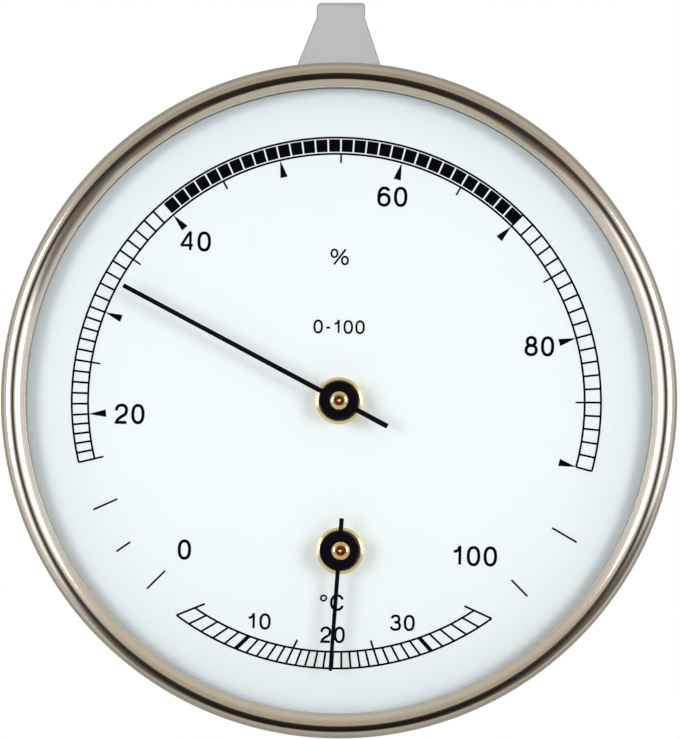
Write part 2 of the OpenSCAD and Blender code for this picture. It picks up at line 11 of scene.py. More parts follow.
import bmesh
import bpy
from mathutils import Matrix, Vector

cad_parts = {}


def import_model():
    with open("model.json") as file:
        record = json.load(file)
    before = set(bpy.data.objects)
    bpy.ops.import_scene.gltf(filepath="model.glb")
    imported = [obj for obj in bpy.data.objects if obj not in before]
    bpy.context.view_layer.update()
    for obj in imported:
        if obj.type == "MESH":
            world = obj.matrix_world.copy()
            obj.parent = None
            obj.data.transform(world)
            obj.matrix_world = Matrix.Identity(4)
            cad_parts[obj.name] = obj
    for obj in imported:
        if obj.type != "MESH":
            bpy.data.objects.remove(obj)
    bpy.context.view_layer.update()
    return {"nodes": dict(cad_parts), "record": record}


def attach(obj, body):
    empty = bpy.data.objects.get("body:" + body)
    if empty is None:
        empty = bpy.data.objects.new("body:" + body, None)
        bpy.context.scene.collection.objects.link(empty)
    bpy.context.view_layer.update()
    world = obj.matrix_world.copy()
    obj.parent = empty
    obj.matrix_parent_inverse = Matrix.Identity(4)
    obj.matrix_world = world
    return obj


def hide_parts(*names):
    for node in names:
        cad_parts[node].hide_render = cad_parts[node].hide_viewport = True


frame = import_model()
nodes = frame["nodes"]

MM = 0.001
# Points closer than this are one point, and points closer than that to a cutting plane lie on it
SAME = 1e-6
ON_PLANE = 1e-7

# Sizes that the CAD model also has
BEZEL_R = 51.5
BEZEL_W = 3.7
BEZEL_WALL = 0.6
BEAD_OUT = BEZEL_W * 0.46
BEAD_IN = BEZEL_W - BEAD_OUT
CREST_Z = 30.0
LIP_R = BEZEL_R - BEZEL_W
LIP_Z = CREST_Z - BEAD_IN
GASKET_T = 0.5
GASKET_SHOWS = 0.1
GLASS_T = 2.0
GLASS_Z = LIP_Z - GASKET_T - GLASS_T
GLASS_FIT = 0.5
STACK_R = BEZEL_R - BEZEL_WALL - GLASS_FIT
DIAL_GAP = 5.5
DIAL_Z = GLASS_Z - DIAL_GAP
DIAL_T = 0.5
CAN_R = 44.5
CAN_WALL = 0.8
FLANGE_Z = DIAL_Z - DIAL_T - CAN_WALL
STRAP_TOP = 62.6
STRAP_TOP_W = 7.7
HUB = (0.0, 0.0)
THERMO_HUB = (0.15, -23.0)
HUB_AT = {"hygro": HUB, "thermo": THERMO_HUB}
BUSH_R = 3.62
BUSH_T = 1.2
BUSH_BORE = 0.65
BARREL_R = 2.3
HAND_Z = DIAL_Z + 2.1
HAND_T = 0.3
BOSS_R = 2.95
BOSS_T = 0.8
FERRULE_R = 1.0
CAP_R = 1.45
CAP_T = 1.2
CAP_TOP = HAND_Z + BOSS_T + CAP_T
RECESS_R = 0.72
RECESS_DEEP = 0.7
RECESS_FLOOR = CAP_TOP - RECESS_DEEP

# Photograph: its size, millimetres per pixel on the ring's front plane, and the ring's centre in pixels
PHOTO_W = 680
PHOTO_H = 739
MM_PER_PX = 0.1523
PX_CENTRE = (339.1, 400.0)


def world(x, y, z):
    """A point of the dial's frame in Blender's metres."""
    return (x * MM, -z * MM, y * MM)


def polar(centre, radius, clock):
    """A point at an angle clockwise from the top."""
    a = math.radians(clock)
    return (centre[0] + radius * math.sin(a), centre[1] + radius * math.cos(a))


def arc(centre, radius, start, end, steps):
    """Points of an arc in a profile, angles counter-clockwise from the first axis."""
    angles = [math.radians(start + (end - start) * i / steps) for i in range(steps + 1)]
    return [(centre[0] + radius * math.cos(a), centre[1] + radius * math.sin(a)) for a in angles]


def rounded(r, z, size, start, end, steps):
    """The arc that rounds a profile's sharp corner at (r, z)."""
    middle = math.radians((start + end) / 2)
    centre = (r - math.copysign(size, math.cos(middle)), z - math.copysign(size, math.sin(middle)))
    return arc(centre, size, start, end, steps)


# Meshes


def finished_mesh(name, bm, degrees=32):
    """The mesh of a bmesh, shaded smooth except at edges sharper than this angle."""
    bmesh.ops.recalc_face_normals(bm, faces=bm.faces)
    mesh = bpy.data.meshes.new(name)
    bm.to_mesh(mesh)
    bm.free()
    mesh.shade_smooth()
    mesh.set_sharp_from_angle(angle=math.radians(degrees))
    return mesh


def add_object(name, mesh, body, slot, material=None):
    """A new piece that rides on a CAD body, in its slot's own finish unless another is given."""
    piece = bpy.data.objects.new(name, mesh)
    bpy.context.scene.collection.objects.link(piece)
    mesh.materials.append(material or LOOKS[slot])
    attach(piece, body)
    return piece


def lathe(name, profile, centre, segments):
    """A closed profile of (radius, z) turned about an axis through centre."""
    bm = bmesh.new()
    rings = []
    for radius, z in profile:
        if radius < SAME:
            rings.append([bm.verts.new(world(*centre, z))])
            continue
        spots = [polar(centre, radius, 360 * i / segments) for i in range(segments)]
        rings.append([bm.verts.new(world(x, y, z)) for x, y in spots])
    for a, b in zip(rings, rings[1:] + rings[:1]):
        if len(a) == 1 and len(b) == 1:
            continue
        for i in range(segments):
            j = (i + 1) % segments
            if len(a) == 1:
                bm.faces.new((a[0], b[j], b[i]))
            elif len(b) == 1:
                bm.faces.new((a[i], a[j], b[0]))
            else:
                bm.faces.new((a[i], a[j], b[j], b[i]))
    return finished_mesh(name, bm)


def add_turned(name, profile, body, slot, node, material=None, centre=HUB, segments=360):
    """A turned piece that stands for a CAD node."""
    piece = add_object(name, lathe(name, profile, centre, segments), body, slot, material)
    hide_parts(node)
    return piece


# Materials


class NodeTree:
    """Short calls for the few nodes that the materials and the room need."""

    def __init__(self, tree):
        self.tree = tree

    def node(self, kind, **settings):
        made = self.tree.nodes.new(kind)
        for key, value in settings.items():
            setattr(made, key, value)
        return made

    def link(self, output, target):
        self.tree.links.new(output, target)

    def feed(self, socket, value):
        """Gives a socket a colour, a number or another node's output."""
        if isinstance(value, tuple):
            socket.default_value = (*value, 1.0)
        elif isinstance(value, (int, float)):
            socket.default_value = value
        else:
            self.link(value, socket)

    def math(self, operation, a, b=0.0):
        made = self.node("ShaderNodeMath", operation=operation)
        self.feed(made.inputs[0], a)
        self.feed(made.inputs[1], b)
        return made.outputs[0]


# Where most of a noise texture's values lie
NOISE_SPAN = (0.3, 0.7)


class Look(NodeTree):
    """A material around one Principled shader."""

    def __init__(self, name, color, roughness, metallic=0.0, **sockets):
        self.material = bpy.data.materials.new(name)
        self.material.use_nodes = True
        super().__init__(self.material.node_tree)
        self.shader = self.tree.nodes["Principled BSDF"]
        self.shader.inputs["Base Color"].default_value = (*color, 1.0)
        self.shader.inputs["Roughness"].default_value = roughness
        self.shader.inputs["Metallic"].default_value = metallic
        for socket, value in sockets.items():
            self.shader.inputs[socket.replace("_", " ")].default_value = value

    def place(self):
        """The surface point in the object's own metres."""
        return self.node("ShaderNodeTexCoord").outputs["Object"]

    def vector(self, operation, vector, other=None):
        made = self.node("ShaderNodeVectorMath", operation=operation)
        self.link(vector, made.inputs[0])
        if other:
            made.inputs[1].default_value = other
        return made

    def offset(self, centre):
        """The way from an axis that runs from the wall to the viewer, in metres."""
        moved = self.vector("SUBTRACT", self.place(), world(*centre, 0))
        return self.vector("MULTIPLY", moved.outputs[0], (1, 0, 1)).outputs[0]

    def radius(self, offset):
        return self.vector("LENGTH", offset).outputs["Value"]

    def parts(self, vector):
        split = self.node("ShaderNodeSeparateXYZ")
        self.link(vector, split.inputs[0])
        return split.outputs

    def noise(self, vector, scale, detail=3.0):
        made = self.node("ShaderNodeTexNoise")
        self.link(vector, made.inputs["Vector"])
        made.inputs["Scale"].default_value = scale
        made.inputs["Detail"].default_value = detail
        made.inputs["Roughness"].default_value = 0.55
        return made.outputs["Fac"]

    def rings(self, centre, pitch):
        """Noise in fine rings about an axis, a pitch apart, that change slowly on their way round."""
        per_metre = 1 / (pitch * MM)
        drift = 1.5
        offset = self.offset(centre)
        across = self.math("MULTIPLY", self.radius(offset), per_metre)
        deep = self.math("MULTIPLY", self.parts(self.place())["Y"], per_metre)
        turn = self.parts(self.vector("NORMALIZE", offset).outputs[0])
        level = self.math("MULTIPLY", turn["X"], drift)
        upright = self.math("MULTIPLY", turn["Z"], drift)
        joined = self.node("ShaderNodeCombineXYZ")
        self.link(self.math("ADD", across, level), joined.inputs["X"])
        self.link(self.math("ADD", deep, upright), joined.inputs["Y"])
        self.link(upright, joined.inputs["Z"])
        return self.noise(joined.outputs[0], 1.0, detail=4.0)

    def ramp(self, value, stops):
        """Colours between (position, colour) stops."""
        made = self.node("ShaderNodeValToRGB")
        self.link(value, made.inputs[0])
        elements = made.color_ramp.elements
        while len(elements) < len(stops):
            elements.new(0.5)
        for element, (position, color) in zip(elements, stops):
            element.position = position
            element.color = (*color, 1.0)
        return made.outputs["Color"]

    def spread(self, value, low, high, span=NOISE_SPAN):
        """A value from low to high as the input crosses span."""
        made = self.node("ShaderNodeMapRange")
        self.link(value, made.inputs["Value"])
        made.inputs["From Min"].default_value = span[0]
        made.inputs["From Max"].default_value = span[1]
        made.inputs["To Min"].default_value = low
        made.inputs["To Max"].default_value = high
        return made.outputs["Result"]

    def paint(self, output):
        self.link(output, self.shader.inputs["Base Color"])

    def clouds(self, color, scale, darker, lighter, detail=3.0, top=NOISE_SPAN[1]):
        """Paints a colour that wanders between a darker and a lighter tone."""
        noise = self.noise(self.place(), scale, detail)
        stops = [(NOISE_SPAN[0], shade(color, 1 - darker)), (top, shade(color, 1 + lighter))]
        self.paint(self.ramp(noise, stops))

    def surface(self, grain, low, high, strength, depth):
        """Roughness from low to high and a bump, both after a grain."""
        self.link(self.spread(grain, low, high), self.shader.inputs["Roughness"])
        made = self.node("ShaderNodeBump")
        self.link(grain, made.inputs["Height"])
        made.inputs["Strength"].default_value = strength
        made.inputs["Distance"].default_value = depth * MM
        self.link(made.outputs["Normal"], self.shader.inputs["Normal"])


def shade(color, factor):
    """A colour made darker or lighter."""
    return tuple(min(1.0, c * factor) for c in color)


def turned_metal(name, color, roughness, centre=HUB, pitch=0.05, depth=0.004, wear=0.12):
    """Metal with the fine rings of a lathe or a polishing wheel about centre."""
    look = Look(name, color, roughness, metallic=1.0)
    look.clouds(color, 220.0, wear, wear / 3, detail=4.0, top=0.65)
    look.surface(look.rings(centre, pitch), roughness * 0.75, roughness * 1.35, 0.5, depth)
    return look.material


def ring_metal(name, color, roughness):
    """Polished ring whose outer flank is painted darker than its front: painted shade that dims its
    reflections.
    """
    crest_r = BEZEL_R - BEAD_OUT
    fade = 0.35
    flank_shade = 0.87
    look = Look(name, color, roughness, metallic=1.0)
    span = (crest_r * MM, (crest_r + fade) * MM)
    # painted shade: the outer flank's colour darkens so that it mirrors the room more dimly
    outer = look.spread(look.radius(look.offset(HUB)), 0.0, 1.0, span)
    look.paint(look.ramp(outer, [(0.0, color), (1.0, shade(color, flank_shade))]))
    look.surface(look.rings(HUB, 0.06), roughness * 0.8, roughness * 1.3, 0.5, 0.002)
    return look.material


def rolled_metal(name, color, roughness, wear=0.1):
    """Sheet or wire with a faint grain along the wall plane."""
    look = Look(name, color, roughness, metallic=1.0)
    stretch = look.node("ShaderNodeMapping")
    stretch.inputs["Scale"].default_value = (1.0, 1.0, 9.0)
    look.link(look.place(), stretch.inputs["Vector"])
    grain = look.noise(stretch.outputs[0], 900.0, detail=4.0)
    look.clouds(color, 140.0, wear, wear / 3)
    look.surface(grain, roughness * 0.8, roughness * 1.25, 0.4, 0.004)
    return look.material


def matt_coat(name, color, roughness, grain_scale, depth, spread=0.05, sheen=0.5):
    """Paint, lacquer, rubber or plastic with a fine skin; sheen is the shader's specular level."""
    look = Look(name, color, roughness, Specular_IOR_Level=sheen)
    grain = look.noise(look.place(), grain_scale, detail=2.0)
    look.clouds(color, grain_scale / 25, spread, spread)
    look.surface(grain, roughness * 0.85, roughness * 1.15, 0.5, depth)
    return look.material


def dial_coat_edge_shade(name, color, edge):
    """White paint with painted shade that darkens it towards the dial's edge, under the ring."""
    shade_w = 1.7
    cloudy = 0.05
    look = Look(name, color, 0.42)
    span = ((LIP_R - shade_w) * MM, LIP_R * MM)
    # painted shade: the colour darkens over the last 1.7 mm before the lip
    rim = look.spread(look.radius(look.offset(HUB)), 0.0, 1 - cloudy, span)
    tone = look.math("ADD", rim, look.spread(look.noise(look.place(), 60.0), 0.0, cloudy))
    stops = [(0.0, shade(color, 1.004)), (cloudy, shade(color, 0.996)), (1.0, shade(color, edge))]
    look.paint(look.ramp(tone, stops))
    look.surface(look.noise(look.place(), 1500.0, detail=2.0), 0.36, 0.48, 0.5, 0.003)
    return look.material


def glass(name):
    look = Look(name, (0.97, 0.99, 0.985), 0.0, Transmission_Weight=1.0, IOR=1.5)
    smear = look.noise(look.place(), 60.0, detail=2.0)
    look.link(look.spread(smear, 0.0, 0.006), look.shader.inputs["Roughness"])
    return look.material


STEEL = (0.70, 0.665, 0.60)
STRAP_GREY = (0.445, 0.462, 0.453)
BRASS = (0.83, 0.66, 0.32)
COLLAR_BRASS = (0.92, 0.75, 0.39)
CAP_BRASS = (0.93, 0.66, 0.33)
ARBOR_BRONZE = (0.98, 0.46, 0.15)
# painted shade: the dark red-brown that lines each cap's recess
RECESS_SHADE_BROWN = (0.32, 0.06, 0.01)
BLUE_BLACK = (0.0012, 0.001, 0.004)
INK_BLACK = (0.0015, 0.0015, 0.003)

LOOKS = {
    # the ring's steel, with painted shade on its outer flank
    "bezel_steel": ring_metal("bezel_polish_flank_shade", STEEL, 0.155),
    "lens_glass": glass("window_glass"),
    # partly the gasket's own grey, partly painted shade: no shadow of the ring falls on it, so its grey is
    # darker
    "seal_rubber": matt_coat("seal_grey_and_shade", (0.30, 0.31, 0.28), 0.7, 2500.0, 0.01),
    "spacer_metal": rolled_metal("spacer_strip", (0.55, 0.55, 0.54), 0.35, wear=0.06),
    # the dial's white, darkened at its edge by painted shade
    "dial_paint": dial_coat_edge_shade("dial_white_edge_shade", (0.83, 0.885, 0.9), 0.87),
    "case_metal": turned_metal("case_drawn", (0.70, 0.70, 0.69), 0.34, pitch=0.12, depth=0.006, wear=0.04),
    "lug_metal": matt_coat("strap_grey", STRAP_GREY, 0.62, 1600.0, 0.01),
    "screw_steel": turned_metal("screw_bright", (0.56, 0.57, 0.59), 0.3, wear=0.1),
    "brass": turned_metal("brass_turned", BRASS, 0.24, wear=0.14),
    "cap_brass": turned_metal("cap_turned", CAP_BRASS, 0.26, wear=0.2),
    "hand_lacquer": matt_coat("hand_blue_black", BLUE_BLACK, 0.35, 2200.0, 0.002, 0.2, sheen=0.06),
    "spring_bronze": rolled_metal("spring_strip", (0.72, 0.48, 0.28), 0.3),
    "bimetal": rolled_metal("bimetal_strip", (0.60, 0.55, 0.48), 0.38),
    "strand_fibre": matt_coat("fibre_pale", (0.80, 0.77, 0.66), 0.55, 3000.0, 0.01),
}
# painted shade for the strap's rounded rims
STRAP_RIM_SHADE = matt_coat("strap_rim_shade", (0.25, 0.255, 0.255), 0.6, 1600.0, 0.01)
# painted shade: the seal's near-black stands in for shade at the dial's edge
SHADE_SEAL_BLACK = matt_coat("shade_seal_dark", (0.08, 0.08, 0.075), 0.7, 2500.0, 0.01)
COLLAR_LOOK = {
    name: turned_metal(name + "_collar_turned", COLLAR_BRASS, 0.13, centre, pitch=0.08, depth=0.001, wear=0.1)
    for name, centre in HUB_AT.items()
}
CAP_LOOK = {
    name: turned_metal(name + "_cap_turned", CAP_BRASS, 0.1, centre, depth=0.001, wear=0.1)
    for name, centre in HUB_AT.items()
}
ARBOR_LOOK = rolled_metal("arbor_end", ARBOR_BRONZE, 0.14)
# painted shade for the cap's recess
RECESS_SHADE_LOOK = rolled_metal("cap_recess_shade", RECESS_SHADE_BROWN, 0.35)
INK = matt_coat("print_ink", INK_BLACK, 0.6, 2600.0, 0.002, 0.2, sheen=0.0)
SLOT_OF = {part["node"]: part["material_slot"] for part in frame["record"]["subparts"]}


def dress_nodes():
    """Gives every CAD node the finish of its material slot, but the arbors a brighter bronze."""
    arbors = [name + "_arbor" for name in HUB_AT]
    for name, obj in nodes.items():
        obj.data.materials.clear()
        obj.data.materials.append(ARBOR_LOOK if name in arbors else LOOKS[SLOT_OF[name]])


dress_nodes()


# Case

# The dark seal at the spacer's foot, a near-black ring put there as shade at the dial's edge that also casts
# a shadow, and the spacer's inner radius behind the lip
SHADE_SEAL_H = 2.15
SHADE_SEAL_R = LIP_R + 0.15
SPACER_R = LIP_R + 0.5


def bezel_profile():
    """Bead with a flatter flank towards the glass, plain skirt, and a curl behind the can's flange."""
    crest_shift = 0.06
    crest_r = BEZEL_R - BEAD_OUT - crest_shift
    bead_z = CREST_Z - BEAD_OUT
    widen = (BEZEL_R - crest_r) / BEAD_OUT
    flank_r = 5.2
    flank_from = 123
    flank_to = 134.5
    turn = 0.05
    inner_curl = 0.3
    curl_r = inner_curl + BEZEL_WALL
    curl = (BEZEL_R - curl_r, FLANGE_Z + inner_curl)
    end_r = CAN_R + 1.7
    front = arc((crest_r, CREST_Z - BEAD_IN), BEAD_IN, 90, flank_from, 14)
    front_r, front_z = front[-1]
    a = math.radians(flank_from)
    flank_at = (front_r - flank_r * math.cos(a), front_z - flank_r * math.sin(a))
    flank = arc(flank_at, flank_r, flank_from, flank_to, 8)[1:]
    edge_z = flank[-1][1]
    flank += [(LIP_R + turn * 0.3, edge_z - turn), (LIP_R, edge_z - 2.5 * turn), (LIP_R, LIP_Z)]
    bead = [(crest_r + (r - crest_r) * widen, z) for r, z in arc((crest_r, bead_z), BEAD_OUT, 90, 0, 28)]
    outer = list(reversed(front + flank)) + bead[1:]
    outer += arc(curl, curl_r, 0, -90, 10) + [(end_r, curl[1] - curl_r), (end_r, FLANGE_Z)]
    inner = arc(curl, inner_curl, -90, 0, 6)
    inner += arc((crest_r, bead_z), BEAD_OUT - BEZEL_WALL, 0, 90, 20)
    inner += arc((crest_r, LIP_Z), BEAD_IN - BEZEL_WALL, 90, 180, 20)[1:]
    return outer + inner


def tube_profile(r_out, r_in, z, height):
    return [(r_in, z), (r_out, z), (r_out, z + height), (r_in, z + height)]


def window_profile():
    """Flat disc with a ground edge."""
    ground = 0.12
    top = GLASS_Z + GLASS_T
    return [(0, GLASS_Z), (STACK_R - ground, GLASS_Z), (STACK_R, GLASS_Z + ground), (STACK_R, top - ground),
            (STACK_R - ground, top), (0, top)]


def make_case():
    """The ring and what it holds. Only the dark seal, a ring put there as shade at the dial's edge, casts a
    shadow, so the dial is lit evenly.
    """
    ring = add_turned("bezel_bead", bezel_profile(), "case", "bezel_steel", "bezel_ring", segments=720)
    profile = tube_profile(STACK_R, LIP_R - GASKET_SHOWS, LIP_Z - GASKET_T, GASKET_T)
    gasket = add_turned("gasket_ring", profile, "case", "seal_rubber", "lens_gasket")
    profile = tube_profile(STACK_R, SPACER_R, DIAL_Z + SHADE_SEAL_H, DIAL_GAP - SHADE_SEAL_H)
    spacer = add_turned("dial_spacer", profile, "case", "spacer_metal", "spacer_ring")
    # the dark seal: a near-black ring that gives the dial's edge its shade and also casts a shadow
    profile = tube_profile(STACK_R, SHADE_SEAL_R, DIAL_Z, SHADE_SEAL_H)
    add_turned("dial_shade_seal", profile, "case", "seal_rubber", "spacer_ring", SHADE_SEAL_BLACK)
    window = add_turned("window", window_profile(), "case", "lens_glass", "lens")
    window.visible_diffuse = False
    for piece in (ring, gasket, spacer, window):
        piece.visible_shadow = False


# Strap: where its head starts, the planes that round each corner, its width against the solid's, its rims'
# width and lowest height, and its lean with the heights from which it leans and at which it stays in place
STRAP_HEAD = STRAP_TOP - 2.4
STRAP_CORNER = 0.75
STRAP_CUTS = 6
STRAP_NARROW = 0.979
STRAP_RIM = 0.14
STRAP_RIM_FROM = 48
STRAP_LEAN = 0.038
STRAP_LEAN_FROM = 46
STRAP_LEAN_ABOUT = 53.4


def round_corner(bm, side):
    """Cuts one corner of the strap's head with planes that lie against a circle."""
    middle = (side * (STRAP_TOP_W / 2 - STRAP_CORNER), STRAP_TOP - STRAP_CORNER)
    for i in range(STRAP_CUTS):
        a = math.radians(90 / STRAP_CUTS * (i + 0.5))
        out = (side * math.cos(a), math.sin(a))
        at = world(middle[0] + out[0] * STRAP_CORNER, middle[1] + out[1] * STRAP_CORNER, 0)
        faces = [face for face in bm.faces if min(v.co.z for v in face.verts) > (STRAP_HEAD - 0.01) * MM]
        edges = [edge for face in faces for edge in face.edges]
        verts = [vert for face in faces for vert in face.verts]
        head = list(dict.fromkeys([*faces, *edges, *verts]))
        cut = bmesh.ops.bisect_plane(bm, geom=head, dist=ON_PLANE, plane_co=at, plane_no=(out[0], 0, out[1]),
                                     clear_outer=True)
        opened = [part for part in cut["geom_cut"] if isinstance(part, bmesh.types.BMEdge)]
        bmesh.ops.edgenet_fill(bm, edges=opened)


def is_rim(edge):
    """Whether an edge of the upper strap lies between its front or back and one of its sides."""
    if len(edge.link_faces) != 2 or min(v.co.z for v in edge.verts) < STRAP_RIM_FROM * MM:
        return False
    broad, side = sorted((face.normal for face in edge.link_faces), key=lambda normal: abs(normal.x))
    return abs(broad.x) < 0.02 and abs(side.x) > 0.1 and abs(side.y) < 0.1


def make_strap():
    """The CAD strap with rounded head corners, narrow rims darkened by painted shade, and its slight lean to
    the right.
    """
    source = nodes["hanger_lug"]
    bm = bmesh.new()
    bm.from_mesh(source.data)
    bm.transform(source.matrix_world)
    bmesh.ops.remove_doubles(bm, verts=bm.verts, dist=SAME)
    bmesh.ops.dissolve_limit(bm, angle_limit=math.radians(1), verts=bm.verts, edges=bm.edges)
    bmesh.ops.bisect_plane(bm, geom=[*bm.verts, *bm.edges, *bm.faces], dist=ON_PLANE,
                           plane_co=world(0, STRAP_HEAD, 0), plane_no=(0, 0, 1))
    for side in (-1, 1):
        round_corner(bm, side)
    for vert in bm.verts:
        vert.co.x *= STRAP_NARROW
        vert.co.x += STRAP_LEAN * (max(vert.co.z, STRAP_LEAN_FROM * MM) - STRAP_LEAN_ABOUT * MM)
    bmesh.ops.recalc_face_normals(bm, faces=bm.faces)
    rims = [edge for edge in bm.edges if is_rim(edge)]
    bmesh.ops.bevel(bm, geom=rims, offset=STRAP_RIM * MM, offset_type="OFFSET", segments=2, profile=0.5,
                    affect="EDGES", clamp_overlap=False, material=1)
    strap = add_object("strap", finished_mesh("strap", bm, 20), "case", "lug_metal")
    # the rims' dark grey is painted shade
    strap.data.materials.append(STRAP_RIM_SHADE)
    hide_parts("hanger_lug")


make_case()
make_strap()


# Hubs and hands

# Each hand's angle at rest, its length and tail from the hub, its widths at tail and tip, and how far it
# lies beside the axis; then the same for each cap
HANDS = {
    "hygro": (-61.9, 37.5, 8.4, (0.80, 0.69), 0.0),
    "thermo": (184.3, 18.4, 5.0, (0.70, 0.58), -0.13),
}
CAP_BESIDE = {"hygro": 0.0, "thermo": 0.08}


def bush_profile():
    """Collar with a cupped face on a thin foot, and the barrel behind it."""
    top = DIAL_Z + BUSH_T
    foot_z = DIAL_Z + 0.35
    back_z = DIAL_Z - 0.7
    edge_r = 3.4
    cup_r = 2.6
    cup_z = top - 0.3
    profile = [(BUSH_BORE, back_z), (BARREL_R, back_z), (BARREL_R, DIAL_Z + 0.002), (BUSH_R, DIAL_Z)]
    profile += rounded(BUSH_R, foot_z, 0.2, 0, 90, 8)
    profile += rounded(edge_r, foot_z, 0.06, 270, 180, 4)
    profile += rounded(edge_r, top, 0.22, 0, 90, 10)
    profile += rounded(cup_r, top, 0.05, 90, 180, 4)
    return profile + [(cup_r - 0.2, cup_z + 0.03), (cup_r - 0.25, cup_z), (BUSH_BORE, cup_z)]


def cap_profile():
    """Domed cap with a turned recess, and the tube on which the hand sits."""
    bore = 0.62
    tube_z = HAND_Z - 0.7
    shoulder = HAND_Z + BOSS_T
    dome_h = 0.65
    rim = 0.04
    rim_r = RECESS_R + rim
    profile = [(bore, tube_z), (FERRULE_R, tube_z), (FERRULE_R, shoulder), (CAP_R - 0.05, shoulder),
               (CAP_R, shoulder + 0.06)]
    profile += [(rim_r + (CAP_R - rim_r) * level, CAP_TOP - dome_h * (1 - rise))
                for level, rise in arc((0, 0), 1, 0, 90, 18)]
    return profile + [(RECESS_R, CAP_TOP - rim), (RECESS_R - 0.03, RECESS_FLOOR + 0.05),
                      (RECESS_R - 0.08, RECESS_FLOOR), (bore, RECESS_FLOOR)]


def recess_shade_profile():
    """Thin dark lining of the cap's recess, painted shade for its hollow."""
    hole = 0.63
    front = CAP_TOP - 0.06
    face = RECESS_FLOOR + 0.02
    back = RECESS_FLOOR + 0.012
    return [(RECESS_R - 0.001, front), (RECESS_R - 0.031, RECESS_FLOOR + 0.06), (RECESS_R - 0.08, face),
            (hole, face), (hole, back), (RECESS_R - 0.04, back), (RECESS_R - 0.005, front)]


def boss_profile():
    """Disc under the cap with softened edges."""
    soft = 0.05
    bore = FERRULE_R + 0.01
    top = HAND_Z + BOSS_T
    profile = [(bore, HAND_Z), (BOSS_R - soft, HAND_Z)]
    profile += rounded(BOSS_R, HAND_Z, soft, -90, 0, 5) + rounded(BOSS_R, top, soft, 0, 90, 5)
    return profile + [(bore, top)]


def blade_mesh(name, centre, clock, length, tail, widths):
    """Thin strip with a square tip, from its tail to its tip."""
    tail_x, tip_x = widths[0] / 2, widths[1] / 2
    cut = 0.1
    outline = [(-tail_x, -tail), (tail_x, -tail), (tip_x, length - cut), (tip_x - cut, length),
               (cut - tip_x, length), (-tip_x, length - cut)]
    c, s = math.cos(math.radians(clock)), math.sin(math.radians(clock))
    spots = [(centre[0] + u * c + v * s, centre[1] - u * s + v * c) for u, v in outline]
    low = HAND_Z + (BOSS_T - HAND_T) / 2
    bm = bmesh.new()
    back, front = [[bm.verts.new(world(x, y, z)) for x, y in spots] for z in (low, low + HAND_T)]
    bm.faces.new(back)
    bm.faces.new(front)
    for i in range(len(spots)):
        j = (i + 1) % len(spots)
        bm.faces.new((back[i], back[j], front[j], front[i]))
    return finished_mesh(name, bm)


def make_hubs():
    """Each hub's collar, cap, and the dark lining of painted shade in the cap's recess."""
    for name, centre in HUB_AT.items():
        hand = name + "_hand"
        ferrule = name + "_ferrule"
        cap_at = (centre[0] + CAP_BESIDE[name], centre[1])
        add_turned(name + "_collar", bush_profile(), "case", "brass", name + "_bush", COLLAR_LOOK[name],
                   centre, 160)
        add_turned(name + "_cap", cap_profile(), hand, "cap_brass", ferrule, CAP_LOOK[name], cap_at, 128)
        # the recess lining is painted shade
        add_turned(name + "_recess", recess_shade_profile(), hand, "cap_brass", ferrule, RECESS_SHADE_LOOK, cap_at, 96)


def make_hands():
    """Each hand's blade and the boss that it sits on."""
    for name, (clock, length, tail, widths, beside) in HANDS.items():
        hand = name + "_hand"
        pointer = name + "_pointer"
        centre = (HUB_AT[name][0] + beside, HUB_AT[name][1])
        mesh = blade_mesh(name + "_blade", centre, clock, length, tail, widths)
        blade = add_object(name + "_blade", mesh, hand, "hand_lacquer")
        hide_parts(pointer)
        bevel = blade.modifiers.new("edges", "BEVEL")
        bevel.width = 0.04 * MM
        bevel.segments = 2
        add_turned(name + "_boss", boss_profile(), hand, "hand_lacquer", pointer, centre=centre, segments=160)


make_hubs()
make_hands()


# Dial print

# The centres of both scales, the print's height over the dial, its numerals' turn, and its line widths
PRINT_CENTRE = (-0.42, -0.17)
THERMO_PRINT = (0.25, -22.8)
PRINT_LIFT = 0.02
PRINT_TURN = 1.0
LINE = 0.31
LIGHT_LINE = LINE * 0.9
FREE_LINE = LINE * 0.95
HEAVY_LINE = LINE * 2
# Upper scale: its two circles, its ends, its row of squares and its marks
HUMID_IN = 38.1
HUMID_OUT = 40.6
HUMID_FROM = 15
HUMID_TO = 90
HUMID_ANGLES = {0: -134.5, 10: -113.6, 20: -92.8, 30: -68.8, 40: -41.1, 50: -13.1, 60: 15.3, 70: 44.9,
                80: 75.1, 90: 105.2, 100: 135.7}
SQUARES_FROM = 40
SQUARES_TO = 70
SQUARE_IN = HUMID_IN + 0.31
SQUARE_OUT = HUMID_OUT - 0.27
SQUARE_START = 0.04
SQUARE_END = 0.91
WEDGE_LONG = 2.7
WEDGE_W = 1.15
HALF_MARK = 1.4
# Marks beyond the scale's ends: angle, inner and outer radius
FREE_TICKS = [(-113.9, 36.75, 40.8), (-124.2, 38.2, 40.8), (-134.6, 36.9, 40.8), (120.3, 38.3, 42.7),
              (135.5, 38.3, 41.8)]
# Lower scale: its two circles, and where its long marks start
TEMP_IN = 38.32
TEMP_OUT = 40.87
TEMP_ANGLES = {5: 248.2, 10: 226.7, 15: 205.7, 20: 184.2, 25: 161.8, 30: 138.3, 35: 114.6}
TEMP_MARK_IN = 36.95
TEMP_LONG = (5, 15, 25, 35)
TEMP_HEAVY = (10, 30)
